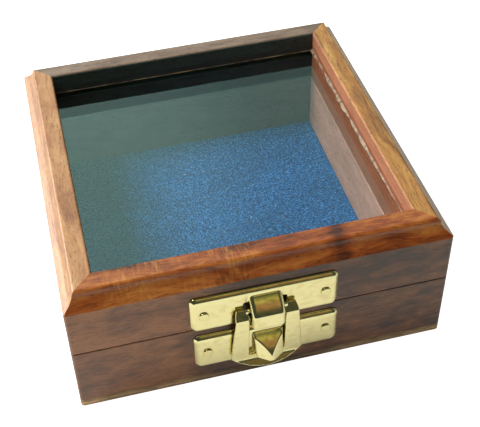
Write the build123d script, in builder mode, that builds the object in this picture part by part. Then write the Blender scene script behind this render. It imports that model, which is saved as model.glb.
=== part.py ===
from build123d import *
import os

os.makedirs("parts", exist_ok=True)

# A square wooden box with a glazed lid, two butt hinges at the back and a swing hasp in front.
# Millimetres. X runs along the front, Y from the front to the back and Z up.
# The origin is the centre of the underside.

# ---- Driving dimensions: the wooden case
box_width = 102.0          # outside, the same along X and Y
corner_radius = 1.0        # sanded upright corners
wall_thickness = 8.7
panel_thickness = 2.6      # plywood bottom
panel_arris = 0.3          # rounding of its lower edge
felt_thickness = 0.8
seam_height = 21.85        # middle of the split between base and lid
seam_gap = 0.15
seam_arris = 0.15          # small chamfers along the split, outside
inner_seam_arris = 0.3     # and inside, where they were eased more
lid_wall_top = 37.05
rim_top = 41.7
slack = 0.1                # room left around the felt and the glass

# ---- Driving dimensions: the glazing
glass_underside = 31.0
glass_thickness = 4.0
groove_depth = 2.5
groove_play = 0.05
bead_size = 0.8

# ---- Driving dimensions: the latch
brass_sheet = 0.8
plate_width = 39.7
plate_height = 12.2
plate_corner = 1.9
plate_rise = 1.3           # how far the plate's face stands off the wood
border_slope = 18.0        # degrees, of the pressed border
plate_edge_round = 1.1     # between the border and the flat face
upper_plate_bottom = 21.95
upper_plate_shift = -0.25  # the two plates were nailed on by hand, a little out of line
lower_plate_shift = 0.25
lower_plate_bottom = 7.2
plate_pin_spacing = 32.4
pin_head_radius = 1.4
pin_head_height = 0.5
pin_head_round = 0.35
pin_shank_radius = 0.6
pin_depth = 6.0
fit_clearance = 0.02       # a shank in its hole

bridge_width = 8.8
bridge_rise = 5.5          # of its outer face, off the wood
bridge_top = 32.2
bridge_knee = 27.8
bridge_bottom = 22.7
bridge_bulge = 0.35        # how far its slope swells between top and knee
bridge_foot = 23.3         # where its lower leg meets the plate
bridge_sheet = 1.2
bridge_edge_round = 1.1
bridge_slot_width = 11.2   # pierced opening behind the bridge
bridge_slot_bottom = 24.4
bridge_slot_top = 29.8

catch_width = 8.2
catch_heel_width = 7.2     # where its flanks turn into the curved front
catch_heel_rise = 4.5
catch_rise = 6.6
catch_top = 17.7
catch_bottom = 10.8
catch_tip_height = 12.15
catch_bulge = 0.5          # how far its slope swells between root and tip
catch_shoulder_rise = 2.6  # where a facet meets the slope and the flank
catch_round = 0.4

pivot_rise = 2.1
pivot_height = 27.6
pivot_radius = 0.65
pivot_length = 10.9        # it spans the window and is rooted in both arms
hasp_knee_rise = 3.9
hasp_knee_height = 25.7
hasp_foot_rise = 2.65
hasp_foot_height = 8.75
lip_rise = 4.45
lip_height = 6.55
hasp_top_width = 14.8
hasp_shoulder_width = 16.8
hasp_foot_width = 19.5
hasp_corner = 0.8          # chamfer between the sides and the lip
lip_width = 18.2
window_width = 9.7
window_bottom = 10.2
hasp_shoulder_height = 26.5
hasp_top = 29.6            # of the outline that the arms are cut to
hasp_bend_radius = 0.7

# ---- Driving dimensions: the hinges
hinge_spacing = 56.0       # between the middles of the two hinges
hinge_length = 20.0
leaf_reach = 7.5           # how far a leaf goes into the wall
leaf_thickness = 0.9
leaf_corner = 1.0
leaf_gap = 0.1             # between the closed leaves
knuckle_radius = 1.7
knuckle_gap = 0.2
middle_knuckle = 8.0
knuckle_clearance = 0.1    # between a knuckle and the wood or the other leaf
hinge_pin_radius = 0.8
hinge_pin_overhang = 0.2
running_clearance = 0.05
screw_spacing = 12.4
screw_inset = 3.8          # from the back face
screw_head_radius = 1.8
screw_shank_radius = 1.0
screw_length = 6.0
screw_slot = 0.4
screw_slot_turn = 35       # degrees from the hinge's length

# ---- Derived places
half = box_width / 2
inner_half = half - wall_thickness
base_wall_top = seam_height - seam_gap / 2
lid_wall_bottom = seam_height + seam_gap / 2
glass_top = glass_underside + glass_thickness
upper_plate_middle = (upper_plate_shift, upper_plate_bottom + plate_height / 2)
lower_plate_middle = (lower_plate_shift, lower_plate_bottom + plate_height / 2)
hinge_axis_y = half + knuckle_clearance + knuckle_radius
front_face = Plane.XZ.offset(half)
side_turns = {"front": 0, "right": 90, "back": 180, "left": 270}


def mitred_side(side, section):
    """Run a section along one side of the box and mitre both its ends at 45 degrees.

    The section is a closed run of (inset, height) points. Inset counts inwards from the outer face.
    """
    turn = side_turns[side]
    along = Vector(1, 0, 0).rotate(Axis.Z, turn)
    inwards = Vector(0, 1, 0).rotate(Axis.Z, turn)
    corner = Vector(-half, -half, 0).rotate(Axis.Z, turn)
    with BuildSketch(Plane(origin=corner, x_dir=inwards, z_dir=along)) as outline:
        with BuildLine():
            section()
        make_face()
    extrude(outline.sketch, amount=box_width)
    with BuildSketch(Plane(origin=(0, 0, 0), x_dir=along, z_dir=(0, 0, 1))) as outline:
        RectangleRounded(box_width, box_width, corner_radius)
        Polygon((-half, -half), (half, -half), (0, 0), align=None, mode=Mode.INTERSECT)
    extrude(outline.sketch, amount=rim_top, mode=Mode.INTERSECT)


def base_wall_section():
    """A plain wall with its two upper arrises eased."""
    Polyline(
        (0, panel_thickness),
        (0, base_wall_top - seam_arris),
        (seam_arris, base_wall_top),
        (wall_thickness - inner_seam_arris, base_wall_top),
        (wall_thickness, base_wall_top - inner_seam_arris),
        (wall_thickness, panel_thickness),
        close=True,
    )


def lid_wall_section():
    """A wall with its two lower arrises eased and a groove inside for the glass."""
    groove_face = wall_thickness - groove_depth
    Polyline(
        (0, lid_wall_bottom + seam_arris),
        (0, lid_wall_top),
        (wall_thickness, lid_wall_top),
        (wall_thickness, glass_top + groove_play),
        (groove_face, glass_top + groove_play),
        (groove_face, glass_underside - groove_play),
        (wall_thickness, glass_underside - groove_play),
        (wall_thickness, lid_wall_bottom + inner_seam_arris),
        (wall_thickness - inner_seam_arris, lid_wall_bottom),
        (seam_arris, lid_wall_bottom),
        close=True,
    )


def rim_section():
    """The moulding: an outer bevel, a shallow cove, a round shoulder, a flat top and a soft inner edge."""
    cove_foot = (1.7, lid_wall_top + 1.45)
    cove_head = (3.0, rim_top - 0.9)
    shoulder_end = (4.06, rim_top)
    inner_round = 0.7
    bevel = Line((0, lid_wall_top), cove_foot)
    cove = TangentArc(cove_foot, cove_head, tangent=bevel % 1)
    TangentArc(cove_head, shoulder_end, tangent=cove % 1)
    Line(shoulder_end, (wall_thickness - inner_round, rim_top))
    RadiusArc(
        (wall_thickness - inner_round, rim_top),
        (wall_thickness, rim_top - inner_round),
        inner_round,
    )
    Polyline((wall_thickness, rim_top - inner_round), (wall_thickness, lid_wall_top), (0, lid_wall_top))


def pin_places(middle):
    """Where the two pins of a latch plate go, as seen from the front."""
    x, height = middle
    return [(x - plate_pin_spacing / 2, height), (x + plate_pin_spacing / 2, height)]


def pin_holes(middle):
    """The holes of one latch plate's two pins, into the front wall."""
    with BuildSketch(front_face) as outline:
        with Locations(*pin_places(middle)):
            Circle(pin_shank_radius + fit_clearance)
    extrude(outline.sketch, amount=-pin_depth - slack, mode=Mode.SUBTRACT)


def leaf_mortises(seam_face, deeper):
    """The shallow recesses of the two hinge leaves and their screw holes, cut from the seam face."""
    depth = leaf_thickness + fit_clearance
    for hinge_x in (-hinge_spacing / 2, hinge_spacing / 2):
        with BuildSketch(Plane.XY.offset(seam_face)) as outline:
            with Locations((hinge_x, half - leaf_reach / 2)):
                Rectangle(hinge_length + slack, leaf_reach + slack)
        extrude(outline.sketch, amount=deeper * depth, mode=Mode.SUBTRACT)
        with BuildSketch(Plane.XY.offset(seam_face)) as outline:
            with Locations(*screw_places(hinge_x)):
                Circle(screw_shank_radius + fit_clearance)
        extrude(outline.sketch, amount=deeper * (screw_length + slack), mode=Mode.SUBTRACT)


def screw_places(hinge_x):
    """Plan positions of the two screws in one hinge leaf."""
    screw_y = half - screw_inset
    return [(hinge_x - screw_spacing / 2, screw_y), (hinge_x + screw_spacing / 2, screw_y)]


def stamped_plate(middle):
    """A shallow pressed pan: a flat face inside a sloping border, open at the back."""
    with BuildSketch(front_face) as outline:
        with Locations(middle):
            RectangleRounded(plate_width, plate_height, plate_corner)
    extrude(outline.sketch, amount=plate_rise, taper=border_slope)
    fillet(faces().sort_by(Axis.Y)[0].edges(), radius=plate_edge_round)
    with BuildSketch(front_face) as outline:
        with Locations(middle):
            RectangleRounded(
                plate_width - 2 * brass_sheet,
                plate_height - 2 * brass_sheet,
                plate_corner - brass_sheet,
            )
    extrude(outline.sketch, amount=plate_rise - brass_sheet, taper=border_slope, mode=Mode.SUBTRACT)


def plate_pin_holes(middle):
    """Two holes through a latch plate, one near each end."""
    with BuildSketch(front_face) as outline:
        with Locations(*pin_places(middle)):
            Circle(pin_shank_radius + fit_clearance)
    extrude(outline.sketch, amount=plate_rise, mode=Mode.SUBTRACT)


def button_head_pins(middle):
    """Two brass pins: low rounded heads on the plate's face, shanks in the wood."""
    head_seat = front_face.offset(plate_rise)
    with BuildSketch(head_seat) as outline:
        with Locations(*pin_places(middle)):
            Circle(pin_head_radius)
    extrude(outline.sketch, amount=pin_head_height)
    fillet(faces().group_by(Axis.Y)[0].edges(), radius=pin_head_round)
    with BuildSketch(head_seat) as outline:
        with Locations(*pin_places(middle)):
            Circle(pin_shank_radius)
    extrude(outline.sketch, amount=-plate_rise - pin_depth)


def hinge_leaf(hinge_x, rises, knuckle_spans):
    """One butt hinge leaf with its knuckles.

    It lies below the hinge axis in the base and above it in the lid, where rises is -1 or 1.
    """
    inner_face = seam_height + rises * leaf_gap / 2
    with BuildSketch(Plane.XY.offset(inner_face)) as outline:
        with Locations((hinge_x, half - leaf_reach / 2)):
            RectangleRounded(hinge_length, leaf_reach, leaf_corner)
        with Locations((hinge_x, half - leaf_corner)):
            Rectangle(hinge_length, 2 * leaf_corner)
        for start, end in knuckle_spans:
            with Locations((hinge_x + (start + end) / 2, (half + hinge_axis_y) / 2)):
                Rectangle(end - start, hinge_axis_y - half)
    extrude(outline.sketch, amount=rises * leaf_thickness)
    for start, end in knuckle_spans:
        with BuildSketch(Plane.YZ.offset(hinge_x + start)) as outline:
            with Locations((hinge_axis_y, seam_height)):
                Circle(knuckle_radius)
        extrude(outline.sketch, amount=end - start)


def hinge_bore(hinge_x, clearance):
    """The bore for the hinge pin, right through the knuckles."""
    with BuildSketch(Plane.YZ.offset(hinge_x - hinge_length / 2)) as outline:
        with Locations((hinge_axis_y, seam_height)):
            Circle(hinge_pin_radius + clearance)
    extrude(outline.sketch, amount=hinge_length, mode=Mode.SUBTRACT)


def leaf_screw_holes(hinge_x, rises):
    """Two countersunk holes, widest at the face that meets the other leaf."""
    inner_face = seam_height + rises * leaf_gap / 2
    screw_head_height = screw_head_radius - screw_shank_radius
    with BuildSketch(Plane.XY.offset(inner_face)) as outline:
        with Locations(*screw_places(hinge_x)):
            Circle(screw_head_radius + fit_clearance)
    extrude(outline.sketch, amount=rises * screw_head_height, taper=45, mode=Mode.SUBTRACT)
    with BuildSketch(Plane.XY.offset(inner_face)) as outline:
        with Locations(*screw_places(hinge_x)):
            Circle(screw_shank_radius + fit_clearance)
    extrude(outline.sketch, amount=rises * leaf_thickness, mode=Mode.SUBTRACT)


def countersunk_screws(rises):
    """The four slotted screws of one half of the case, their heads level with the leaves."""
    inner_face = seam_height + rises * leaf_gap / 2
    screw_head_height = screw_head_radius - screw_shank_radius
    places = screw_places(-hinge_spacing / 2) + screw_places(hinge_spacing / 2)
    with BuildSketch(Plane.XY.offset(inner_face)) as outline:
        with Locations(*places):
            Circle(screw_head_radius)
    extrude(outline.sketch, amount=rises * screw_head_height, taper=45)
    with BuildSketch(Plane.XY.offset(inner_face)) as outline:
        with Locations(*places):
            Circle(screw_shank_radius)
    extrude(outline.sketch, amount=rises * screw_length)
    with BuildSketch(Plane.XY.offset(inner_face)) as outline:
        with Locations(*places):
            Rectangle(2 * screw_head_radius, screw_slot, rotation=screw_slot_turn)
    extrude(outline.sketch, amount=rises * screw_slot, mode=Mode.SUBTRACT)


# ---- The base: four walls on a plywood panel, with the felt inside
with BuildPart() as bottom_panel:
    with BuildSketch():
        RectangleRounded(box_width, box_width, corner_radius)
    extrude(amount=panel_thickness)
    fillet(faces().sort_by(Axis.Z)[0].edges(), radius=panel_arris)

with BuildPart() as base_front_wall:
    mitred_side("front", base_wall_section)
    pin_holes(lower_plate_middle)

with BuildPart() as base_back_wall:
    mitred_side("back", base_wall_section)
    leaf_mortises(base_wall_top, -1)

with BuildPart() as base_left_wall:
    mitred_side("left", base_wall_section)

with BuildPart() as base_right_wall:
    mitred_side("right", base_wall_section)

with BuildPart() as felt_lining:
    with BuildSketch(Plane.XY.offset(panel_thickness)):
        Rectangle(2 * (inner_half - slack), 2 * (inner_half - slack))
    extrude(amount=felt_thickness)

# ---- The lid: four grooved walls, a moulded rim and the pane of glass
with BuildPart() as lid_front_wall:
    mitred_side("front", lid_wall_section)
    pin_holes(upper_plate_middle)

with BuildPart() as lid_back_wall:
    mitred_side("back", lid_wall_section)
    leaf_mortises(lid_wall_bottom, 1)

with BuildPart() as lid_left_wall:
    mitred_side("left", lid_wall_section)

with BuildPart() as lid_right_wall:
    mitred_side("right", lid_wall_section)

with BuildPart() as rim_front:
    mitred_side("front", rim_section)

with BuildPart() as rim_back:
    mitred_side("back", rim_section)

with BuildPart() as rim_left:
    mitred_side("left", rim_section)

with BuildPart() as rim_right:
    mitred_side("right", rim_section)

with BuildPart() as glass_pane:
    pane_half = inner_half + groove_depth - slack
    with BuildSketch(Plane.XY.offset(glass_underside)):
        Rectangle(2 * pane_half, 2 * pane_half)
    extrude(amount=glass_thickness)

# The bead is three-cornered in section: it lies on the glass and against the wall.
with BuildPart() as glazing_bead:
    with BuildSketch(Plane.XY.offset(glass_top)):
        Rectangle(2 * inner_half, 2 * inner_half)
    extrude(amount=bead_size)
    with BuildSketch(Plane.XY.offset(glass_top)):
        Rectangle(2 * (inner_half - bead_size), 2 * (inner_half - bead_size))
    extrude(amount=bead_size, taper=-45, mode=Mode.SUBTRACT)

# ---- The latch's lower plate. Its catch is pressed out: flanks and a curved front, cut off by
# a swelling slope that starts at the plate and by two steeper facets that meet it in a V.
catch_tip = Vector(0, -half - catch_rise, catch_tip_height)
catch_fall = (catch_top - catch_tip_height) / (catch_rise - plate_rise)
catch_shoulder_height = catch_top - catch_fall * (catch_shoulder_rise - plate_rise)

with BuildPart() as catch_nose:
    with BuildSketch(Plane.XY.offset(catch_bottom)):
        with BuildLine():
            Polyline(
                (-catch_heel_width / 2, -half - catch_heel_rise),
                (-catch_width / 2, -half - plate_rise),
                (catch_width / 2, -half - plate_rise),
                (catch_heel_width / 2, -half - catch_heel_rise),
            )
            ThreePointArc(
                (catch_heel_width / 2, -half - catch_heel_rise),
                (0, -half - catch_rise),
                (-catch_heel_width / 2, -half - catch_heel_rise),
            )
        make_face()
    extrude(amount=catch_top - catch_bottom)
    with BuildSketch(Plane.YZ):
        with BuildLine():
            SagittaArc(
                (-half - plate_rise, catch_top),
                (-half - catch_rise, catch_tip_height),
                -catch_bulge,
            )
            Polyline(
                (-half - catch_rise, catch_tip_height),
                (-half - catch_rise, catch_bottom),
                (-half - plate_rise, catch_bottom),
                (-half - plate_rise, catch_top),
            )
        make_face()
    extrude(amount=catch_width / 2, both=True, mode=Mode.INTERSECT)
    for side in (-1, 1):
        shoulder = Vector(side * catch_width / 2, -half - catch_shoulder_rise, catch_shoulder_height)
        heel = Vector(side * catch_heel_width / 2, -half - catch_heel_rise, catch_bottom)
        facet_normal = (shoulder - catch_tip).cross(heel - catch_tip) * -side
        split(bisect_by=Plane(origin=catch_tip, z_dir=facet_normal), keep=Keep.BOTTOM)
    creases = edges() - faces().sort_by(Axis.Y)[-1].edges() - faces().sort_by(Axis.Z)[0].edges()
    fillet(creases, radius=catch_round)

with BuildPart() as latch_lower_plate:
    stamped_plate(lower_plate_middle)
    plate_pin_holes(lower_plate_middle)
    with Locations((lower_plate_shift, 0, 0)):
        add(catch_nose.part)

# ---- The latch's upper plate. The bridge is a strap, pressed out over the hasp's pivot bar.
with BuildPart() as bridge_strap:
    with BuildSketch(Plane.YZ):
        with BuildLine():
            SagittaArc(
                (-half - plate_rise, bridge_top),
                (-half - bridge_rise, bridge_knee),
                -bridge_bulge,
            )
            Polyline(
                (-half - bridge_rise, bridge_knee),
                (-half - bridge_rise, bridge_bottom),
                (-half - plate_rise, bridge_foot),
                (-half - plate_rise, bridge_top),
            )
        make_face()
    extrude(amount=bridge_width / 2, both=True)
    plate_side = faces().sort_by(Axis.Y)[-1]
    outer_edges = edges() - plate_side.edges()
    fillet(outer_edges, radius=bridge_edge_round)
    # The tunnel follows the strap's outline, one sheet thickness further in.
    bridge_slope = (bridge_top - bridge_knee) / (bridge_rise - plate_rise)
    with BuildSketch(Plane.YZ):
        with BuildLine():
            Polyline(
                (-half - plate_rise + bridge_sheet, bridge_top + bridge_slope * bridge_sheet),
                (-half - bridge_rise, bridge_knee),
                (-half - bridge_rise, bridge_bottom),
                (-half - plate_rise + bridge_sheet, bridge_foot),
                close=True,
            )
        make_face()
        offset(amount=-bridge_sheet, mode=Mode.REPLACE)
    extrude(amount=bridge_width / 2, both=True, mode=Mode.SUBTRACT)

with BuildPart() as latch_upper_plate:
    stamped_plate(upper_plate_middle)
    plate_pin_holes(upper_plate_middle)
    with BuildSketch(front_face):
        with Locations((upper_plate_shift, (bridge_slot_bottom + bridge_slot_top) / 2)):
            Rectangle(bridge_slot_width, bridge_slot_top - bridge_slot_bottom)
    extrude(amount=plate_rise, mode=Mode.SUBTRACT)
    with Locations((upper_plate_shift, 0, 0)):
        add(bridge_strap.part)

# ---- The hasp: a bent sheet with a window, hung on its pivot bar, with a lip to lift it by
hasp_middle = Plane.YZ.offset(upper_plate_shift)
hasp_front = Plane(origin=(upper_plate_shift, -half, 0), x_dir=(1, 0, 0), z_dir=(0, -1, 0))

with BuildPart() as hasp:
    with BuildSketch(hasp_middle):
        with BuildLine():
            outer_face = FilletPolyline(
                (-half - pivot_rise, pivot_height + pivot_radius),
                (-half - hasp_knee_rise, hasp_knee_height),
                (-half - hasp_foot_rise, hasp_foot_height),
                (-half - lip_rise, lip_height),
                radius=hasp_bend_radius,
            )
            offset(outer_face, amount=brass_sheet, side=Side.LEFT)
        make_face()
    extrude(amount=hasp_foot_width, both=True)
    with BuildSketch(hasp_front):
        with BuildLine():
            Polyline(
                (-lip_width / 2, hasp_foot_height),
                (-hasp_foot_width / 2, hasp_foot_height + hasp_corner),
                (-hasp_shoulder_width / 2, hasp_shoulder_height),
                (-hasp_top_width / 2, hasp_top),
                (hasp_top_width / 2, hasp_top),
                (hasp_shoulder_width / 2, hasp_shoulder_height),
                (hasp_foot_width / 2, hasp_foot_height + hasp_corner),
                (lip_width / 2, hasp_foot_height),
            )
            ThreePointArc(
                (-lip_width / 2, hasp_foot_height),
                (0, lip_height),
                (lip_width / 2, hasp_foot_height),
            )
        make_face()
        with Locations((0, (window_bottom + rim_top) / 2)):
            Rectangle(window_width, rim_top - window_bottom, mode=Mode.SUBTRACT)
    extrude(amount=bridge_rise + catch_rise, mode=Mode.INTERSECT)
    with BuildSketch(hasp_middle):
        with Locations((-half - pivot_rise, pivot_height)):
            Circle(pivot_radius)
    extrude(amount=pivot_length / 2, both=True)

# ---- The pins of the two plates
with BuildPart() as latch_lower_pins:
    button_head_pins(lower_plate_middle)

with BuildPart() as latch_upper_pins:
    button_head_pins(upper_plate_middle)

# ---- The hinges: the base's leaf has the two outer knuckles, the lid's leaf the middle one
outer_knuckles = [
    (-hinge_length / 2, -middle_knuckle / 2 - knuckle_gap),
    (middle_knuckle / 2 + knuckle_gap, hinge_length / 2),
]
inner_knuckle = [(-middle_knuckle / 2, middle_knuckle / 2)]

with BuildPart() as hinge_base_screws:
    countersunk_screws(-1)

with BuildPart() as hinge_lid_screws:
    countersunk_screws(1)

pieces = {
    "bottom_panel": bottom_panel,
    "felt_lining": felt_lining,
    "base_front_wall": base_front_wall,
    "base_back_wall": base_back_wall,
    "base_left_wall": base_left_wall,
    "base_right_wall": base_right_wall,
    "lid_front_wall": lid_front_wall,
    "lid_back_wall": lid_back_wall,
    "lid_left_wall": lid_left_wall,
    "lid_right_wall": lid_right_wall,
    "rim_front": rim_front,
    "rim_back": rim_back,
    "rim_left": rim_left,
    "rim_right": rim_right,
    "glass_pane": glass_pane,
    "glazing_bead": glazing_bead,
    "latch_lower_plate": latch_lower_plate,
    "latch_lower_pins": latch_lower_pins,
    "latch_upper_plate": latch_upper_plate,
    "latch_upper_pins": latch_upper_pins,
    "hasp": hasp,
    "hinge_base_screws": hinge_base_screws,
    "hinge_lid_screws": hinge_lid_screws,
}

for side, hinge_x in (("left", -hinge_spacing / 2), ("right", hinge_spacing / 2)):
    with BuildPart() as base_leaf:
        hinge_leaf(hinge_x, -1, outer_knuckles)
        hinge_bore(hinge_x, fit_clearance)
        leaf_screw_holes(hinge_x, -1)
    pieces[f"hinge_{side}_base_leaf"] = base_leaf

    with BuildPart() as lid_leaf:
        hinge_leaf(hinge_x, 1, inner_knuckle)
        hinge_bore(hinge_x, running_clearance)
        leaf_screw_holes(hinge_x, 1)
    pieces[f"hinge_{side}_lid_leaf"] = lid_leaf

    with BuildPart() as hinge_pin:
        with BuildSketch(Plane.YZ.offset(hinge_x - hinge_length / 2 - hinge_pin_overhang)):
            with Locations((hinge_axis_y, seam_height)):
                Circle(hinge_pin_radius)
        extrude(amount=hinge_length + 2 * hinge_pin_overhang)
        fillet(edges(), radius=hinge_pin_overhang)
    pieces[f"hinge_{side}_pin"] = hinge_pin

for name, piece in pieces.items():
    piece.part.label = name
    export_step(piece.part, f"parts/{name}.step")
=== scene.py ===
# %% [markdown]
# # A glazed coin case in sheesham, brass and felt
# The case is a square box of lacquered sheesham, an Indian rosewood. Its lid is a frame of moulded
# rails round a pane of glass, a stamped brass latch holds it shut, and blue felt lines the base.
# The solid parts come from the CAD model, which stays fixed. This script gives them their finish,
# and builds what a solid can't show: eased edges, the nap of the felt and a bead of dried glue.

# %% Load the fixed frame
import math
import random
import bmesh
import bpy
import numpy as np
from mathutils import Matrix, Vector, noise


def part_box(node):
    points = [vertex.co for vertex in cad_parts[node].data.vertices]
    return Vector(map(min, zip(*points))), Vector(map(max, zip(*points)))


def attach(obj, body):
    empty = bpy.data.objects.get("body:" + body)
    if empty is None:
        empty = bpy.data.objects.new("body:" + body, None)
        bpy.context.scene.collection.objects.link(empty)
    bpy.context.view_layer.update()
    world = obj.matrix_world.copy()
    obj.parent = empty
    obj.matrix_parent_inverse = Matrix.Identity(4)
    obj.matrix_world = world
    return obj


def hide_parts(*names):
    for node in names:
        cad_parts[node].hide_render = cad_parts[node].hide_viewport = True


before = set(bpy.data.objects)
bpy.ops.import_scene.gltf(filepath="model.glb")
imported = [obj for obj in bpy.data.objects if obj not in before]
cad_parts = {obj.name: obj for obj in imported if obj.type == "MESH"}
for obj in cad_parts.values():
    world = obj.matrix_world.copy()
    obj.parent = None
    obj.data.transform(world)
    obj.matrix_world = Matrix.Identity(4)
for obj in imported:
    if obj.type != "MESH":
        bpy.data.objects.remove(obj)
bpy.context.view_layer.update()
MM = 0.001
print("nodes:", len(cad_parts))

# %% [markdown]
# ## Two small helpers for materials
# Colours are easiest to choose as the hex values of a colour picker, but Blender mixes light in
# linear values, so one function turns the first into the second. A material is a tree of nodes.
# One function adds a node, sets its settings and links what feeds it, so that each finish below
# reads as a list of steps.

# %% Colours and nodes
def linear(hex_colour):
    """The linear RGBA value of an sRGB colour such as "#8a5a3c"."""
    parts = [int(hex_colour[i:i + 2], 16) / 255 for i in (1, 3, 5)]
    return [p / 12.92 if p <= 0.04045 else ((p + 0.055) / 1.055) ** 2.4 for p in parts] + [1]


def put(tree, kind, inputs=None, stops=None, **settings):
    """Adds a node. An input is a value, or the node or socket that feeds it."""
    node = tree.nodes.new("ShaderNode" + kind)
    for name, value in settings.items():
        setattr(node, name, value)
    if stops:
        ramp = node.color_ramp
        while len(ramp.elements) < len(stops):
            ramp.elements.new(1)
        for element, (place, colour) in zip(ramp.elements, stops):
            element.position, element.color = place, colour
    for name, value in (inputs or {}).items():
        open_inputs = [s for s in node.inputs if s.enabled]
        by_place = isinstance(name, int)
        socket = open_inputs[name] if by_place else next(s for s in open_inputs if s.name == name)
        if isinstance(value, bpy.types.Node):
            value = next(s for s in value.outputs if s.enabled)
        if isinstance(value, bpy.types.NodeSocket):
            tree.links.new(value, socket)
        else:
            socket.default_value = value
    return node


def new_material(name):
    """An empty material, its tree, and the place on the piece in millimetres."""
    material = bpy.data.materials.new(name)
    material.use_nodes = True
    tree = material.node_tree
    tree.nodes.clear()
    place = put(tree, "TexCoord").outputs["Object"]
    in_mm = put(tree, "VectorMath", {0: place, "Scale": 1 / MM}, operation="SCALE")
    return material, tree, in_mm


# %% [markdown]
# ## Sheesham under lacquer
# Sheesham has brown and red-brown layers from its growth rings, short dark pores, and now and then
# a curly figure: the fibres wave, so golden strokes run across the grain. The boards were planed,
# stained a little and sprayed with a satin lacquer, outside only, so the inner faces are paler bare
# wood. Noise that is stretched along the grain gives the layers and fibres, because real grain is
# long one way and narrow the other. Each board has its own seed, so no two boards repeat, and the
# four sides meet at the mitres as separate pieces.

# %% Sheesham, a material for each board
# Sizes along and across the grain, in millimetres. The fibres of real sheesham are finer than
# 0.2 mm. They are drawn at 0.45 mm so that they show.
LAYER_LENGTH, LAYER_WIDTH = 48.0, 3.4
FIBRE_LENGTH, FIBRE_WIDTH = 7.0, 0.45
PORE_LENGTH, PORE_WIDTH = 2.2, 0.3
CLOUD_SIZE = 6.0
STROKE_LENGTH, STROKE_WIDTH = 3.8, 0.8       # of the curly figure, across the grain
INSIDE_REACH = 42.45                         # mm from the middle: nearer faces are inner faces
GROOVE_MIDDLE, GROOVE_HALF, GROOVE_DEPTH = 33.0, 2.3, 2.5    # of the groove that holds the glass
MOULDING = (38.4, 40.6)                      # height of the moulding's bevel and of its shoulder
GRAIN_BEND = 9.0                             # mm that the grain wanders off straight
FIBRE_SHARE = 0.22                           # of the tone that the fibres give
SHADOW_AND_KNOT_DEPTH, PAINTED_LIGHT_FALL_TONES = 0.13, (0.05, -0.08)    # darkening at painted shadows and at knots; painted light, lighter then darker along a board


def stretched(tree, place, length, width, seed, detail=3, rough=0.5, distortion=0.0):
    """Noise whose marks are length long with the grain and width wide across it, in millimetres."""
    moved = put(tree, "Mapping", {
        "Vector": place, "Scale": (1 / length, 1 / width, 1 / width), "Location": (seed * 3.7, seed, -seed)})
    return put(tree, "TexNoise", {
        "Vector": moved, "Scale": 1.0, "Detail": detail, "Roughness": rough, "Distortion": distortion})


def between(tree, value, low, high, start=0.0, end=1.0):
    """Value's range from low to high, spread smoothly from start to end."""
    return put(tree, "MapRange", {
        "Value": value, "From Min": low, "From Max": high, "To Min": start, "To Max": end},
        interpolation_type="SMOOTHSTEP")


def product(tree, first, second):
    return put(tree, "Math", {0: first, 1: second}, operation="MULTIPLY")


def near(tree, place, spots):
    """1 at the named spots of a board, fading to 0. A spot is (along, reach) in millimetres."""
    along = put(tree, "SeparateXYZ", {0: place}).outputs[0]
    total = None
    for middle, reach in spots:
        away = put(tree, "Math", {0: along, 1: middle}, operation="SUBTRACT")
        away = put(tree, "Math", {0: away}, operation="ABSOLUTE")
        spot = between(tree, away, 0.0, reach, 1.0, 0.0)
        total = put(tree, "Math", {0: total, 1: spot}, operation="MAXIMUM") if total else spot
    return total


def inner_faces(tree, place):
    """1 on the faces that look into the case and in the glass groove, 0 elsewhere."""
    apart = put(tree, "SeparateXYZ", {0: put(tree, "VectorMath", {0: place}, operation="ABSOLUTE")})
    reach = put(tree, "Math", {0: apart.outputs[0], 1: apart.outputs[1]}, operation="MAXIMUM")
    at_groove = put(tree, "Math", {
        0: apart.outputs[2], 1: GROOVE_MIDDLE, 2: GROOVE_HALF}, operation="COMPARE")
    limit = put(tree, "Math", {0: at_groove, 1: GROOVE_DEPTH, 2: INSIDE_REACH}, operation="MULTIPLY_ADD")
    return put(tree, "Math", {0: reach, 1: limit}, operation="LESS_THAN")


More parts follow.
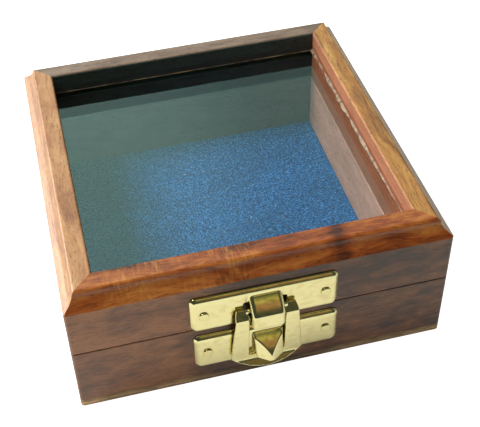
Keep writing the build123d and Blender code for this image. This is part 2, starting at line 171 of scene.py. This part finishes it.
def sheesham(name, seed, dark, middle, light, turned=False, cloud=0.4,
             gold=None, curl=(), shadow_and_knot_spots=(), fall=None, bare_wood_and_painted_light=None, foot=None):
    """
    Lacquered sheesham. The grain runs along X, or along Y where the board is turned.

    gold is the colour of the curly strokes, which show near the spots of curl. The board is darker
    near its given spots: painted shadows around the latch on the front walls, and a dark knot on the
    front rail. Painted light makes it lighter at fall[0] and darker at fall[1], along itself. The
    inner face takes the colour given for it: bare wood, and on some boards painted light, shade and
    reflection. foot is how bright the moulding's lower bevel is: painted shade on the slope that faces
    the front, away from the light.
    """
    material, tree, upright = new_material(name)
    place = put(tree, "Mapping", {"Vector": upright, "Rotation": (0, 0, -math.pi / 2 if turned else 0)})
    bend = put(tree, "TexNoise", {"Vector": place, "Scale": 0.035, "Detail": 2.0})
    bent = put(tree, "VectorMath", {
        0: bend.outputs["Color"], 1: (0, GRAIN_BEND, GRAIN_BEND), 2: place}, operation="MULTIPLY_ADD")
    layers = stretched(tree, bent, LAYER_LENGTH, LAYER_WIDTH, seed, 4, 0.55, 0.4)
    fibres = stretched(tree, bent, FIBRE_LENGTH, FIBRE_WIDTH, seed + 5, 2)
    clouds = stretched(tree, place, CLOUD_SIZE * 1.6, CLOUD_SIZE, seed + 9, 4, 0.6)
    pores = stretched(tree, bent, PORE_LENGTH, PORE_WIDTH, seed + 2, 1)

    tone = put(tree, "Mix", {"Factor": cloud, "A": layers, "B": clouds})
    tone = put(tree, "Mix", {"Factor": FIBRE_SHARE, "A": tone, "B": fibres})
    # Painted shadow around the latch on the front walls; on the front rail the dark spot is a knot.
    if shadow_and_knot_spots:
        tone = put(tree, "Math", {
            0: near(tree, place, shadow_and_knot_spots), 1: -SHADOW_AND_KNOT_DEPTH, 2: tone}, operation="MULTIPLY_ADD")
    # Painted light: the board is lighter at fall[0] and darker at fall[1].
    if fall:
        along = put(tree, "SeparateXYZ", {0: place}).outputs[0]
        tone = put(tree, "Math", {0: tone, 1: between(tree, along, *fall, *PAINTED_LIGHT_FALL_TONES)}, operation="ADD")
    colour = put(tree, "ValToRGB", {0: tone}, stops=[
        (0.36, linear(dark)), (0.49, linear(middle)), (0.62, linear(light))])
    if gold:
        strokes = stretched(tree, place, STROKE_WIDTH, STROKE_LENGTH, seed + 20, 3, 0.55, 0.8)
        patches = stretched(tree, place, 7, 12, seed + 30, 2)
        broken_up = between(tree, patches, 0.36, 0.62, 0.1, 0.5)
        strength = product(tree, between(tree, strokes, 0.44, 0.74), broken_up)
        strength = product(tree, strength, near(tree, place, curl))
        colour = put(tree, "Mix", {"Factor": strength, "A": colour, "B": linear(gold)}, data_type="RGBA")
    # The inner face's colour: bare wood, and on some boards painted light, shade and reflection.
    if bare_wood_and_painted_light:
        inner_wood_and_painted_light = put(tree, "Mix", {
            "Factor": 1.0, "A": linear(bare_wood_and_painted_light),
            "B": put(tree, "ValToRGB", {0: tone}, stops=[
                (0.38, linear("#dcd2cc")), (0.6, linear("#ffffff"))])},
            data_type="RGBA", blend_type="MULTIPLY")
        colour = put(tree, "Mix", {
            "Factor": inner_faces(tree, upright), "A": colour, "B": inner_wood_and_painted_light}, data_type="RGBA")
    darker = between(tree, pores, 0.6, 0.72, 1.0, 0.5)
    # Painted shade: the moulding's lower bevel, which faces the front away from the light, is darker.
    if foot:
        height = put(tree, "SeparateXYZ", {0: place}).outputs[2]
        darker = product(tree, darker, between(tree, height, *MOULDING, foot, 1.0))
    colour = put(tree, "VectorMath", {0: colour, "Scale": darker}, operation="SCALE")

    # Lacquer fills the grain, so the fibres only ripple it by a few hundredths of a millimetre.
    ripple = put(tree, "Bump", {"Height": fibres, "Strength": 0.12, "Distance": 0.03 * MM})
    inside = inner_faces(tree, upright)
    satin = between(tree, clouds, 0.3, 0.7, 0.42, 0.52)
    shader = put(tree, "BsdfPrincipled", {
        "Base Color": colour, "Normal": ripple, "Specular IOR Level": 0.3,
        "Roughness": put(tree, "Mix", {"Factor": inside, "A": satin, "B": 0.85}),
        "Coat Weight": put(tree, "Mix", {"Factor": inside, "A": 0.5, "B": 0.0}),
        "Coat Roughness": 0.17, "Coat IOR": 1.5})
    put(tree, "OutputMaterial", {"Surface": shader})
    return material


# The walls are red-brown with darker clouds. The front ones carry painted light, lighter at the left and
# darker towards the right, and a painted shadow around the latch.
WALL = ("#44210f", "#7c4525", "#a0603a")
FRONT = ("#3f2112", "#774829", "#a16841")
# Inside, the boards are bare wood. Those at the back are given a dark green cast, painted shade and a
# painted reflection of the green pane, and the base's right one a pale pink cast, painted light from
# the window that falls on it. Both casts are stronger than bare wood has.
BASE_BARE, LID_BARE, RAIL_BARE = "#cf9c80", "#b16c4f", "#94583a"
walls = {
    "base_front_wall": sheesham("lacquered_sheesham_base_front", 1, *FRONT, cloud=0.62, bare_wood_and_painted_light=BASE_BARE,
                                shadow_and_knot_spots=[(-8, 16)], fall=(-40, 30)),
    "base_back_wall": sheesham("lacquered_sheesham_base_back", 2, *WALL, cloud=0.55, bare_wood_and_painted_light="#806e62"),
    "base_left_wall": sheesham("lacquered_sheesham_base_left", 3, *WALL, True, 0.55, bare_wood_and_painted_light=BASE_BARE),
    "base_right_wall": sheesham("lacquered_sheesham_base_right", 4, *WALL, True, 0.5, bare_wood_and_painted_light="#ecac9c"),
    "lid_front_wall": sheesham("lacquered_sheesham_lid_front", 5, *FRONT, cloud=0.6, bare_wood_and_painted_light=LID_BARE,
                               shadow_and_knot_spots=[(-2, 20)], fall=(-40, 30)),
    "lid_back_wall": sheesham("lacquered_sheesham_lid_back", 6, *WALL, cloud=0.55, bare_wood_and_painted_light="#505f58"),
    "lid_left_wall": sheesham("lacquered_sheesham_lid_left", 7, *WALL, True, 0.55, bare_wood_and_painted_light=LID_BARE),
    "lid_right_wall": sheesham("lacquered_sheesham_lid_right", 8, *WALL, True, 0.5, bare_wood_and_painted_light=LID_BARE),
}
# The moulded rails are redder heartwood. The front one has the golden curly figure.
rails = {
    # The front rail's lower bevel gets painted shade, and its one dark spot is a knot.
    "rim_front": sheesham("lacquered_heartwood_rim_front", 11, "#4c1c0a", "#984a1c", "#c27834", foot=0.85,
                          gold="#dd9a4c", curl=[(-31, 22), (-10, 18)], shadow_and_knot_spots=[(21, 4)], bare_wood_and_painted_light=RAIL_BARE),
    # The back rail's inner face gets a dark green cast: painted shade and a painted reflection of the green
    # pane.
    "rim_back": sheesham("lacquered_heartwood_rim_back", 12, "#5e4336", "#876c5d", "#9c8776", bare_wood_and_painted_light="#586e65"),
    "rim_left": sheesham("lacquered_heartwood_rim_left", 13, "#855336", "#b17a50", "#cc9c6e", True,
                         gold="#d6a468", curl=[(-8, 18), (20, 12)], bare_wood_and_painted_light=RAIL_BARE),
    "rim_right": sheesham("lacquered_heartwood_rim_right", 14, "#6c421c", "#b0763a", "#d2a258", True,
                          cloud=0.3, bare_wood_and_painted_light="#cf8f6c"),
}
print("sheesham boards:", len(walls) + len(rails))

# %% [markdown]
# ## Plywood under the base
# The bottom is three-ply: two thin face veneers with a thicker core whose grain runs the other way.
# Only its edge shows, as a khaki band with fine lines where the veneers meet. The height on the
# part picks the veneer, because the plies are level.

# %% Plywood
PANEL_THICKNESS = 2.6
FACE_VENEER = 0.75


def plywood(name):
    material, tree, place = new_material(name)
    across, back, height = put(tree, "SeparateXYZ", {0: place}).outputs
    depth = put(tree, "Math", {0: height, 1: PANEL_THICKNESS}, operation="DIVIDE")
    plies = put(tree, "ValToRGB", {0: depth},
                stops=[(0.0, linear("#7a6343")), (0.27, linear("#8a7350")), (0.30, linear("#4a3a26")),
                       (0.34, linear("#94795a")), (0.68, linear("#8f7452")), (0.71, linear("#4f3d28")),
                       (0.75, linear("#7d6645")), (1.0, linear("#6b5538"))])
    fibres = stretched(tree, place, 5, 0.5, 40, 3)
    stain = stretched(tree, place, 14, 9, 41, 3)
    colour = put(tree, "Mix", {
        "Factor": 1.0, "A": plies,
        "B": put(tree, "ValToRGB", {0: fibres}, stops=[
            (0.35, linear("#a8a098")), (0.62, linear("#ffffff"))])},
        data_type="RGBA", blend_type="MULTIPLY")
    # Stain noise sets how far the edge is brightened; it is brightened less near the middle of the front.
    brightness = between(tree, stain, 0.35, 0.65, 2.1, 3.0)
    brightness = product(tree, brightness, between(tree, near(tree, place, [(4, 34)]), 0.0, 1.0, 1.0, 0.3))
    # The back and side edges are darker than the front one.
    brightness = product(tree, brightness, between(tree, back, -50.5, -46.0, 1.0, 0.5))
    sideways = put(tree, "Math", {0: across}, operation="ABSOLUTE")
    brightness = product(tree, brightness, between(tree, sideways, 50.5, 50.9, 1.0, 0.6))
    colour = put(tree, "VectorMath", {0: colour, "Scale": brightness}, operation="SCALE")
    grain = put(tree, "Bump", {"Height": fibres, "Strength": 0.5, "Distance": 0.08 * MM})
    shader = put(tree, "BsdfPrincipled", {
        "Base Color": colour, "Roughness": 0.68, "Normal": grain, "Coat Weight": 0.15, "Coat Roughness": 0.3})
    put(tree, "OutputMaterial", {"Surface": shader})
    return material


panel_ply = plywood("stained_plywood")
print("plywood veneers at", FACE_VENEER, "and", PANEL_THICKNESS - FACE_VENEER, "mm")

# %% [markdown]
# ## Polished brass
# The latch is pressed from thin brass sheet, polished and dipped in clear lacquer. A metal has no
# colour of its own under the reflection, so nearly all that the eye sees is the room, bent by the
# pressed surface. Pressing leaves it very slightly wavy, and the lacquer is a touch uneven: a weak,
# wide bump and a varying roughness give both, and keep a flat face from looking like a mirror.

# %% Brass
def brass(name, tint="#ece3aa", rough=0.16, seed=0, uneven=0.3):
    material, tree, place = new_material(name)
    waves = stretched(tree, place, 7.0, 6.0, 50 + seed, 1)
    smears = stretched(tree, place, 2.4, 1.6, 60 + seed, 3)
    specks = stretched(tree, place, 0.45, 0.45, 70 + seed, 1)
    colour = put(tree, "Mix", {
        "Factor": between(tree, smears, 0.45, 0.75, 0.0, uneven), "A": linear(tint), "B": linear("#c9b46c")},
        data_type="RGBA")
    ripple = put(tree, "Bump", {"Height": waves, "Strength": 0.3, "Distance": 0.08 * MM})
    ripple = put(tree, "Bump", {"Height": specks, "Strength": 0.04, "Distance": 0.03 * MM, "Normal": ripple})
    shader = put(tree, "BsdfPrincipled", {
        "Base Color": colour, "Metallic": 1.0, "Normal": ripple,
        "Roughness": between(tree, smears, 0.3, 0.7, rough - 0.04, rough + 0.08)})
    put(tree, "OutputMaterial", {"Surface": shader})
    return material


latch_brass = brass("polished_lacquered_brass")
pin_brass = brass("polished_brass_pins", "#e8dfa4", 0.17, 1)
hinge_brass = brass("drawn_brass_hinges", "#d9c27e", 0.3, 2, 0.08)
screw_brass = brass("turned_brass_screws", "#d2ba78", 0.22, 3)

# %% [markdown]
# ## Float glass
# The pane is clear float glass, 4 mm thick, with two polished faces. Light that travels to the felt
# has to get through it: a path tracer treats glass as a wall for its shadow rays, so for those rays
# alone the pane is a clear film. Everything that is seen through it or in it is real glass.

# %% Glass
PANE_PASSES = 0.9    # of the light, after the loss at two faces


def float_glass(name):
    material, tree, _ = new_material(name)
    glass = put(tree, "BsdfGlass", {"Color": linear("#f4fbf7"), "Roughness": 0.0, "IOR": 1.5})
    film = put(tree, "BsdfTransparent", {"Color": (PANE_PASSES, PANE_PASSES, PANE_PASSES, 1)})
    path = put(tree, "LightPath")
    lit_through = put(tree, "Math", {
        0: path.outputs["Is Shadow Ray"], 1: path.outputs["Is Diffuse Ray"]}, operation="MAXIMUM")
    either = put(tree, "MixShader", {0: lit_through, 1: glass, 2: film})
    put(tree, "OutputMaterial", {"Surface": either})
    return material


pane_glass = float_glass("clear_float_glass")
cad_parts["glass_pane"].data.materials.clear()
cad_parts["glass_pane"].data.materials.append(pane_glass)

# %% [markdown]
# ## Eased edges
# No real edge is perfectly sharp, because the boards were sanded after they were glued up. A
# narrow rounding catches a thin line of light that tells the eye where a piece ends. Each board is
# copied from its solid, merged back into whole faces, and given a narrow bevel along its sharp
# edges. The copy stands in for the solid, and the solid itself isn't changed.

# %% Copies with eased edges
SHARP_ANGLE = math.radians(32)


def as_object(work, name, material, sharp=40):
    """Writes a mesh in millimetres to a new object in metres, smooth shaded below an angle of sharp."""
    mesh = bpy.data.meshes.new(name)
    bmesh.ops.scale(work, vec=(MM, MM, MM), verts=work.verts)
    work.to_mesh(mesh)
    work.free()
    mesh.shade_smooth()
    mesh.set_sharp_from_angle(angle=math.radians(sharp))
    mesh.materials.append(material)
    piece = bpy.data.objects.new(name, mesh)
    bpy.context.scene.collection.objects.link(piece)
    return piece


def eased(node, material, body, width):
    """A copy of a CAD node with its sharp edges rounded by width, in millimetres."""
    work = bmesh.new()
    work.from_mesh(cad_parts[node].data)
    bmesh.ops.scale(work, vec=(1 / MM, 1 / MM, 1 / MM), verts=work.verts)
    bmesh.ops.remove_doubles(work, verts=work.verts, dist=0.002)
    bmesh.ops.dissolve_limit(work, angle_limit=math.radians(0.5), verts=work.verts, edges=work.edges)
    sharp = [e for e in work.edges if e.is_manifold and e.calc_face_angle() > SHARP_ANGLE]
    bmesh.ops.bevel(
        work, geom=sharp, offset=width, segments=2, profile=0.5, affect="EDGES", clamp_overlap=True)
    bmesh.ops.recalc_face_normals(work, faces=work.faces)
    piece = as_object(work, node + "_eased", material)
    piece.modifiers.new("even normals", "WEIGHTED_NORMAL").keep_sharp = True
    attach(piece, body)
    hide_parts(node)
    return piece


BOARD_EASE = 0.14
boards = []
for node, material in {**walls, **rails}.items():
    body = "base" if node.startswith("base") else "lid"
    boards.append(eased(node, material, body, BOARD_EASE))
print("eased boards:", len(boards), "faces:", sum(len(p.data.polygons) for p in boards))

# %% [markdown]
# ## Pressed brass
# A press can't make a sharp corner in sheet metal: every bend, rim and dimple is a soft roll, and
# tumbling rounds the cut edges too. A bevel can't follow so many short edges, so the pressings are
# made another way. A voxel remesh wraps the solid in one even skin of small squares, and rounds of
# smoothing let the corners sink into soft rolls, while the flat faces stay flat.

# %% Pressings with rolled edges
VOXEL = 0.15            # mm
ROLL_ROUNDS = 13
PLATE_RISE = 1.3        # mm from the wood to a plate's face
SINK_DEPTH, SINK_REACH = 0.35, 2.0


def sink_border(work, node):
    """Lets the face of a plate fall away softly over its last millimetres, as a pressed pan does."""
    low, high = (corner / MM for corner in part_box(node))
    for v in work.verts:
        rise = high.y - v.co.y
        off_wood = min(max((rise - 0.2) / (PLATE_RISE - 0.4), 0.0), 1.0)
        inward = min(v.co.x - low.x, high.x - v.co.x, high.z - v.co.z)
        if rise > PLATE_RISE + 0.1 or inward > SINK_REACH:
            continue
        fall = 1 - max(inward, 0.0) / SINK_REACH
        v.co.y += SINK_DEPTH * off_wood * fall * fall * (3 - 2 * fall)


def rolled(node, material, body):
    """A copy of a CAD node whose edges, inside and outside, are rolled soft."""
    work = bmesh.new()
    work.from_mesh(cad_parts[node].data)
    bmesh.ops.scale(work, vec=(1 / MM, 1 / MM, 1 / MM), verts=work.verts)
    bmesh.ops.remove_doubles(work, verts=work.verts, dist=0.002)
    rough = bpy.data.meshes.new(node + "_rough")
    work.to_mesh(rough)
    work.free()
    block = bpy.data.objects.new(node + "_rough", rough)
    bpy.context.scene.collection.objects.link(block)
    skin = block.modifiers.new("skin", "REMESH")
    skin.mode, skin.voxel_size = "VOXEL", VOXEL
    soften = block.modifiers.new("soften", "SMOOTH")
    soften.factor, soften.iterations = 0.5, ROLL_ROUNDS
    shape = block.evaluated_get(bpy.context.evaluated_depsgraph_get())
    smooth = bmesh.new()
    smooth.from_mesh(shape.to_mesh())
    shape.to_mesh_clear()
    bpy.data.objects.remove(block)
    if node.endswith("_plate"):
        sink_border(smooth, node)
    piece = as_object(smooth, node + "_rolled", material, sharp=180)
    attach(piece, body)
    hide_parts(node)
    return piece


pressings = [
    rolled("latch_lower_plate", latch_brass, "base"),
    rolled("latch_upper_plate", latch_brass, "lid"),
    rolled("hasp", latch_brass, "hasp"),
]
print("pressings:", [(p.name, len(p.data.polygons)) for p in pressings])

# %% [markdown]
# The turned and drawn parts have the right shape already, so they keep their solid and get a finish.

# %% Finishes for the nodes that keep their solid
finishes = {
    "bottom_panel": panel_ply,
    "latch_lower_pins": pin_brass, "latch_upper_pins": pin_brass,
    "hinge_left_base_leaf": hinge_brass, "hinge_right_base_leaf": hinge_brass,
    "hinge_left_lid_leaf": hinge_brass, "hinge_right_lid_leaf": hinge_brass,
    "hinge_left_pin": hinge_brass, "hinge_right_pin": hinge_brass,
    "hinge_base_screws": screw_brass, "hinge_lid_screws": screw_brass,
}
for node, material in finishes.items():
    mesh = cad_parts[node].data
    mesh.materials.clear()
    mesh.materials.append(material)
print("finished in place:", ", ".join(finishes))

# %% [markdown]
# ## Blue felt
# The lining is flocked felt: short blue fibres stand on a backing and lie in small tufts. A smooth
# slab can't look like it, because the tufts shade each other. The top is a fine grid whose points
# are moved up and down by noise at two sizes, tufts and single fibres, and the sides close it down
# to the plywood. A little sheen gives the pale bloom that short fibres have at a low angle.

# %% Flocked felt
FELT_GRID = 0.55        # mm between points
TUFT_SIZE, TUFT_HEIGHT = 1.1, 0.12
FIBRE_CLUMP, CLUMP_HEIGHT = 0.6, 0.08
# Single fibres are far thinner than a tenth of a millimetre. Their tips are drawn coarser, to show.
TUFT_MARK, TIP_MARK = 1.0, 0.43


def flocked_felt(name):
    material, tree, place = new_material(name)
    tufts = stretched(tree, place, TUFT_MARK, TUFT_MARK, 80, 2)
    tips = stretched(tree, place, TIP_MARK, TIP_MARK, 81, 1)
    wear = stretched(tree, place, 22, 16, 82, 3)
    tone = put(tree, "Mix", {"Factor": 0.88, "A": tufts, "B": tips})
    colour = put(tree, "ValToRGB", {0: tone}, stops=[
        (0.35, linear("#04265e")), (0.5, linear("#104b9e")), (0.65, linear("#4790e6"))])
    brightness = between(tree, wear, 0.3, 0.7, 0.85, 1.12)
    colour = put(tree, "VectorMath", {0: colour, "Scale": brightness}, operation="SCALE")
    nap = put(tree, "Bump", {"Height": tips, "Strength": 0.7, "Distance": 0.15 * MM})
    shader = put(tree, "BsdfPrincipled", {
        "Base Color": colour, "Roughness": 0.95, "Normal": nap, "Specular IOR Level": 0.2,
        "Sheen Weight": 0.15, "Sheen Roughness": 0.45, "Sheen Tint": linear("#7fa4d8")})
    put(tree, "OutputMaterial", {"Surface": shader})
    return material


def felt_sheet(material):
    """A closed sheet with a napped top, where the felt's solid lies."""
    low, high = (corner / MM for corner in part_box("felt_lining"))
    steps = round((high.x - low.x) / FELT_GRID)
    xs = np.linspace(low.x, high.x, steps + 1)
    ys = np.linspace(low.y, high.y, steps + 1)
    work = bmesh.new()
    top, foot = {}, {}
    for i, x in enumerate(xs):
        for j, y in enumerate(ys):
            nap = TUFT_HEIGHT * noise.noise((x / TUFT_SIZE, y / TUFT_SIZE, 3.1))
            nap += CLUMP_HEIGHT * noise.noise((x / FIBRE_CLUMP, y / FIBRE_CLUMP, 8.7))
            edge = i in (0, steps) or j in (0, steps)
            top[i, j] = work.verts.new((x, y, high.z - 0.1 + (0 if edge else nap)))
            if edge:
                foot[i, j] = work.verts.new((x, y, low.z + 0.01))
    for i in range(steps):
        for j in range(steps):
            work.faces.new((top[i, j], top[i + 1, j], top[i + 1, j + 1], top[i, j + 1]))
    ring = [(i, 0) for i in range(steps)] + [(steps, j) for j in range(steps)]
    ring += [(i, steps) for i in range(steps, 0, -1)] + [(0, j) for j in range(steps, 0, -1)]
    for here, there in zip(ring, ring[1:] + ring[:1]):
        work.faces.new((foot[here], foot[there], top[there], top[here]))
    work.faces.new([foot[key] for key in reversed(ring)])
    return as_object(work, "felt_nap", material)


felt_blue = flocked_felt("blue_flocked_felt")
felt = felt_sheet(felt_blue)
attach(felt, "base")
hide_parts("felt_lining")
print("felt points:", len(felt.data.vertices))

# %% [markdown]
# A case like this is never quite clean. Pale fibres of lint lie on the felt: each is a curved
# hair of three sides, half a millimetre or so long, and a fixed seed keeps them where they are.

# %% Lint on the felt
LINT_COUNT = 90


def lint_fibres(material):
    draw = random.Random(7)
    low, high = (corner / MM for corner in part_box("felt_lining"))
    work = bmesh.new()
    for _ in range(LINT_COUNT):
        x, y = draw.uniform(low.x + 2, high.x - 2), draw.uniform(low.y + 2, high.y - 2)
        heading, bend = draw.uniform(0, 2 * math.pi), draw.uniform(-1.5, 1.5)
        length, thick = draw.uniform(0.35, 1.1), draw.uniform(0.035, 0.07)
        rings = []
        for step in range(5):
            angle = heading + bend * step / 4
            x += math.cos(angle) * length / 4
            y += math.sin(angle) * length / 4
            side = Vector((-math.sin(angle), math.cos(angle), 0)) * thick
            middle = Vector((x, y, high.z + 0.02 + 0.05 * math.sin(step)))
            rings.append([work.verts.new(middle + o) for o in (side, -side, Vector((0, 0, thick * 1.6)))])
        for a, b in zip(rings, rings[1:]):
            for k in range(3):
                work.faces.new((a[k], a[(k + 1) % 3], b[(k + 1) % 3], b[k]))
        work.faces.new(reversed(rings[0]))
        work.faces.new(rings[-1])
    bmesh.ops.recalc_face_normals(work, faces=work.faces)
    return as_object(work, "felt_lint", material)


def lint_finish(name):
    material, tree, place = new_material(name)
    tone = stretched(tree, place, 3, 3, 90, 1)
    colour = put(tree, "ValToRGB", {0: tone}, stops=[(0.4, linear("#8fa6bf")), (0.6, linear("#d9dde0"))])
    shader = put(tree, "BsdfPrincipled", {"Base Color": colour, "Roughness": 0.9})
    put(tree, "OutputMaterial", {"Surface": shader})
    return material


lint = lint_fibres(lint_finish("cotton_lint"))
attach(lint, "base")

# %% [markdown]
# ## A bead of dried glue
# The pane is bedded in a bead of pale glue, squeezed by hand into the corner between glass and
# rail. It is lumpy: thick along the right rail, with small gaps, and no more than a thread along
# the others. A thin strip is walked round the pane, and noise sets its width and height at every
# step.

# %% Glue bead
GLUE_STEP = 0.6         # mm between cross-sections
GLUE_LEAST, GLUE_MOST, GLUE_TALLEST = 0.06, 1.4, 1.0
# Right, back, left and front: the width at the start, at the end, and how much it swings.
BEAD_WIDTHS = [(0.12, 0.62, 0.7), (0.15, 0.15, 0.12), (0.1, 0.1, 0.06), (0.2, 0.2, 0.2)]


def dried_glue(name):
    material, tree, place = new_material(name)
    lumps = stretched(tree, place, 1.3, 0.8, 100, 3)
    stain = stretched(tree, place, 4.0, 1.5, 101, 3)
    colour = put(tree, "ValToRGB", {0: stain}, stops=[
        (0.36, linear("#6b5644")), (0.48, linear("#937f68")), (0.62, linear("#a99a83"))])
    skin = put(tree, "Bump", {"Height": lumps, "Strength": 0.7, "Distance": 0.3 * MM})
    shader = put(tree, "BsdfPrincipled", {
        "Base Color": colour, "Roughness": 0.45, "Normal": skin, "Subsurface Weight": 0.15,
        "Subsurface Radius": (1.0, 0.8, 0.5), "Subsurface Scale": 0.4 * MM})
    put(tree, "OutputMaterial", {"Surface": shader})
    return material


def glue_bead(material):
    low, high = (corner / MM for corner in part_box("glazing_bead"))
    reach = high.x
    work = bmesh.new()
    for turn, (first, last, swing) in enumerate(BEAD_WIDTHS):
        spin = Matrix.Rotation(turn * math.pi / 2, 3, "Z")
        steps = round(2 * reach / GLUE_STEP)
        rings = []
        for step in range(steps + 1):
            along = -reach + 2 * reach * step / steps
            lump = noise.noise((along / 4.5, turn * 7.3, 0.4))
            lump += 0.5 * noise.noise((along / 1.3, turn * 5.1, 2.2))
            middle = first + (last - first) * min(1.6 * step / steps, 1.0)
            width = min(max(middle + swing * middle / max(first, last) * lump, GLUE_LEAST), GLUE_MOST)
            rise = min(0.75 + 0.5 * noise.noise((along / 2.8, turn * 3.3, 6.0)), GLUE_TALLEST)
            rise = max(min(rise, width * 1.2), GLUE_LEAST)
            section = [(0.0, 0.0), (-width, 0.0), (-width * 0.55, rise * 0.45), (0.0, rise)]
            rings.append([
                work.verts.new(spin @ Vector((reach + u, along, low.z + 0.01 + v))) for u, v in section])
        for a, b in zip(rings, rings[1:]):
            for k in range(len(section)):
                nxt = (k + 1) % len(section)
                work.faces.new((a[k], a[nxt], b[nxt], b[k]))
        work.faces.new(rings[0])
        work.faces.new(list(reversed(rings[-1])))
    bmesh.ops.recalc_face_normals(work, faces=work.faces)
    return as_object(work, "glue_bead", material)


bead = glue_bead(dried_glue("dried_pale_glue"))
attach(bead, "lid")
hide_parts("glazing_bead")
print("glue bead points:", len(bead.data.vertices))

# %% [markdown]
# ## The studio
# The case stands on a white light table, which is why its shadow is faint: the table sends up light
# of its own. One large soft window to the left and above is the key light, and it reaches under the
# left rail only part of the way across the felt. Pale walls behind the case are what the glass
# mirrors. The world holds those walls as soft patches of light, and looks plain to the camera.

# %% Floor, key light and room
TABLE_GLOW, TABLE_SEEN = 0.25, 0.8
KEY_AIM = Vector((-0.536, 0.124, 0.835))      # from the case to the window
KEY_DISTANCE, KEY_SIZE, KEY_POWER = 0.9, 0.4, 8.6


def light_table(name):
    material, tree, place = new_material(name)
    paper = stretched(tree, place, 60, 60, 110, 3)
    colour = put(tree, "ValToRGB", {0: paper}, stops=[(0.3, linear("#e2e2e0")), (0.7, linear("#e6e6e4"))])
    seen = put(tree, "LightPath").outputs["Is Camera Ray"]
    glow = put(tree, "Math", {0: seen, 1: TABLE_SEEN, 2: TABLE_GLOW}, operation="MULTIPLY_ADD")
    shader = put(tree, "BsdfPrincipled", {
        "Base Color": colour, "Roughness": 1.0, "Specular IOR Level": 0.0,
        "Emission Color": linear("#ffffff"), "Emission Strength": glow})
    put(tree, "OutputMaterial", {"Surface": shader})
    return material


floor_mesh = bpy.data.meshes.new("light_table")
floor_work = bmesh.new()
bmesh.ops.create_circle(floor_work, cap_ends=True, segments=96, radius=2.5)
floor_work.to_mesh(floor_mesh)
floor_work.free()
floor_mesh.materials.append(light_table("white_light_table"))
floor = bpy.data.objects.new("light_table", floor_mesh)
bpy.context.scene.collection.objects.link(floor)
floor.location.z = -0.0002

window = bpy.data.lights.new("window", "AREA")
window.shape, window.size, window.energy = "DISK", KEY_SIZE, KEY_POWER
window.color = linear("#fffaf0")[:3]
key = bpy.data.objects.new("window", window)
key.location = KEY_AIM.normalized() * KEY_DISTANCE
key.rotation_mode = "QUATERNION"
key.rotation_quaternion = (-KEY_AIM).to_track_quat("-Z", "Y")
bpy.context.scene.collection.objects.link(key)

# Each patch of the room: compass angle from the back (+ is right), height angle, how far it
# spreads, all in degrees, then its colour and strength.
PATCHES = [
    (10, 42, 34, "#acd6d2", 1.2),      # pale wall behind, mirrored in the glass
    (-6, 43, 18, "#b4d6d0", 1.15),     # its brighter part, mirrored on the left
    (-46, 15, 17, "#ffffff", 8.0),     # low bright window, mirrored in the left bevel
    (167, 27, 9, "#b8a050", 0.16),     # dull wall behind the camera, mirrored in the brass
    (164, 34, 11, "#cc9060", 0.62),    # the warm wall above it
    (168, 48, 9, "#d8cc70", 0.75),     # and its yellow top
    (180, 90, 30, "#b4bb8c", 0.1),     # weak light from straight above
    (88, 18, 45, "#dcdcd4", 0.35),     # pale wall on the right, which lights the right bevel
]
AMBIENT, BACKDROP = "#3b423b", "#f4f4f2"


def room(world):
    world.use_nodes = True
    tree = world.node_tree
    tree.nodes.clear()
    towards = put(tree, "VectorMath", {0: put(tree, "TexCoord").outputs["Generated"]}, operation="NORMALIZE")
    light = put(tree, "RGB")
    light.outputs[0].default_value = linear(AMBIENT)
    for around, up, spread, colour, strength in PATCHES:
        a, u, s = (math.radians(v) for v in (around, up, spread))
        aim = (math.sin(a) * math.cos(u), math.cos(a) * math.cos(u), math.sin(u))
        facing = put(tree, "VectorMath", {0: towards, 1: aim}, operation="DOT_PRODUCT").outputs["Value"]
        patch = between(tree, facing, math.cos(s), math.cos(s * 0.35), 0.0, strength)
        glow = put(tree, "VectorMath", {0: linear(colour)[:3], "Scale": patch}, operation="SCALE")
        light = put(tree, "VectorMath", {0: light, 1: glow}, operation="ADD")
    lit = put(tree, "Background", {"Color": light, "Strength": 1.0})
    plain = put(tree, "Background", {"Color": linear(BACKDROP), "Strength": 1.0})
    seen = put(tree, "LightPath").outputs["Is Camera Ray"]
    put(tree, "OutputWorld", {"Surface": put(tree, "MixShader", {0: seen, 1: lit, 2: plain})})


world = bpy.context.scene.world or bpy.data.worlds.new("room")
room(world)
bpy.context.scene.world = world
bpy.context.scene.view_settings.view_transform = "Standard"
print("patches of light:", len(PATCHES))

# %% [markdown]
# ## The camera
# The camera stands above and a little to the left of the front. Its place, angle and focal length
# set the perspective, and a small shift sets the case in the frame without tilting it.

# %% Camera
IMAGE_WIDTH, IMAGE_HEIGHT = 480, 427
CAMERA_PLACE = Vector((-45.52, -212.47, 222.81)) * MM
CAMERA_TURN, CAMERA_HEIGHT, CAMERA_ROLL = (math.radians(v) for v in (-11.71, 41.70, -2.67))
FOCAL_PIXELS, CENTRE_ACROSS, CENTRE_DOWN = 989.8, 212.97, 169.49

lens = bpy.data.cameras.new("camera")
lens.sensor_width = 36.0
lens.lens = FOCAL_PIXELS * lens.sensor_width / IMAGE_WIDTH
lens.shift_x = (IMAGE_WIDTH / 2 - CENTRE_ACROSS) / IMAGE_WIDTH
lens.shift_y = (CENTRE_DOWN - IMAGE_HEIGHT / 2) / IMAGE_WIDTH
lens.clip_start = 0.01
back = Vector((
    math.sin(CAMERA_TURN) * math.cos(CAMERA_HEIGHT),
    -math.cos(CAMERA_TURN) * math.cos(CAMERA_HEIGHT),
    math.sin(CAMERA_HEIGHT)))
level = (-back).cross(Vector((0, 0, 1))).normalized()
upright = level.cross(-back)
across = math.cos(CAMERA_ROLL) * level + math.sin(CAMERA_ROLL) * upright
above = -math.sin(CAMERA_ROLL) * level + math.cos(CAMERA_ROLL) * upright
camera = bpy.data.objects.new("camera", lens)
camera.matrix_world = Matrix.Translation(CAMERA_PLACE) @ Matrix((across, above, back)).transposed().to_4x4()
bpy.context.scene.collection.objects.link(camera)
bpy.context.scene.camera = camera
print("lens:", round(lens.lens, 2), "mm")
